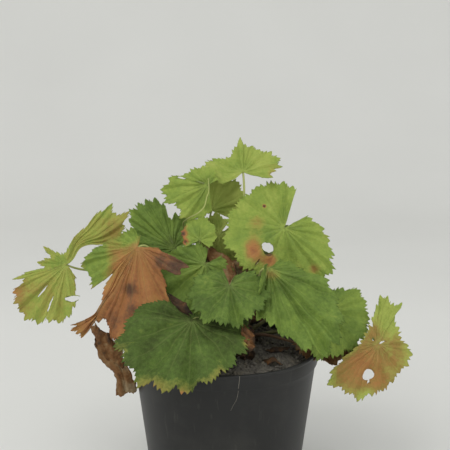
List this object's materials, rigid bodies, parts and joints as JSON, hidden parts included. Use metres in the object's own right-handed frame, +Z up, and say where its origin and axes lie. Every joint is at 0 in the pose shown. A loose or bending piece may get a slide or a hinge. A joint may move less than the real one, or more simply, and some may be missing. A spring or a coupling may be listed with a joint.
{
  "type": "potted alchemilla",
  "caption": "Leafy perennial with round lobed leaves on thin stalks, some yellowed or withered, growing from a woody crown in a compost-filled round black plastic nursery pot.",
  "frame": {"origin": "centre of the pot's foot, on the surface that it stands on", "axes": "+Z up along the pot's axis, -Y towards the side the large front leaf hangs over, +X to the right seen from there"},
  "size_m": [0.281, 0.1722, 0.2502],
  "materials": {
    "pot": "matte black recycled polypropylene, faintly scuffed",
    "compost": "dark moist crumbly peat compost",
    "crown": "rough brown rootstock",
    "leaf_green": "soft matte leaf with a fine nap",
    "leaf_yellow": "yellowed matte leaf",
    "leaf_orange": "orange-brown ageing leaf",
    "dead_leaf": "dry brown crumpled leaf",
    "stalk": "pale green downy stalk",
    "dead_stalk": "dry brown stalk"
  },
  "bodies": {
    "root": {"blade_back_large": "leaf_green", "blade_back_left": "leaf_green", "blade_back_low_left": "leaf_green", "blade_back_low_right": "leaf_green", "blade_back_right": "leaf_green", "blade_back_top": "leaf_green", "blade_behind_small": "leaf_green", "blade_centre": "leaf_green", "blade_dead_centre": "dead_leaf", "blade_dead_inner": "dead_leaf", "blade_dead_left": "dead_leaf", "blade_dead_right": "dead_leaf", "blade_far_left": "leaf_yellow", "blade_far_right": "leaf_orange", "blade_front_large": "leaf_green", "blade_mid_left": "leaf_green", "blade_orange_left": "leaf_orange", "blade_right_back": "leaf_green", "blade_right_front": "leaf_green", "blade_small": "leaf_green", "blade_top": "leaf_green", "blade_top_left": "leaf_green", "blade_top_shade": "leaf_green", "blade_upper_left": "leaf_green", "blade_upper_right": "leaf_green", "compost": "compost", "crown": "crown", "litter_front": "dead_leaf", "litter_middle": "dead_leaf", "litter_right": "dead_leaf", "pot": "pot", "stalk_back_large": "stalk", "stalk_back_left": "stalk", "stalk_back_low_left": "stalk", "stalk_back_low_right": "stalk", "stalk_back_right": "stalk", "stalk_back_top": "stalk", "stalk_behind_small": "stalk", "stalk_centre": "stalk", "stalk_dead_centre": "dead_stalk", "stalk_dead_inner": "dead_stalk", "stalk_dead_left": "dead_stalk", "stalk_dead_right": "dead_stalk", "stalk_far_left": "stalk", "stalk_far_right": "stalk", "stalk_front_large": "stalk", "stalk_mid_left": "stalk", "stalk_orange_left": "stalk", "stalk_right_back": "stalk", "stalk_right_front": "stalk", "stalk_small": "stalk", "stalk_top": "stalk", "stalk_top_left": "stalk", "stalk_top_shade": "stalk", "stalk_upper_left": "stalk", "stalk_upper_right": "stalk"}
  },
  "joints": []
}
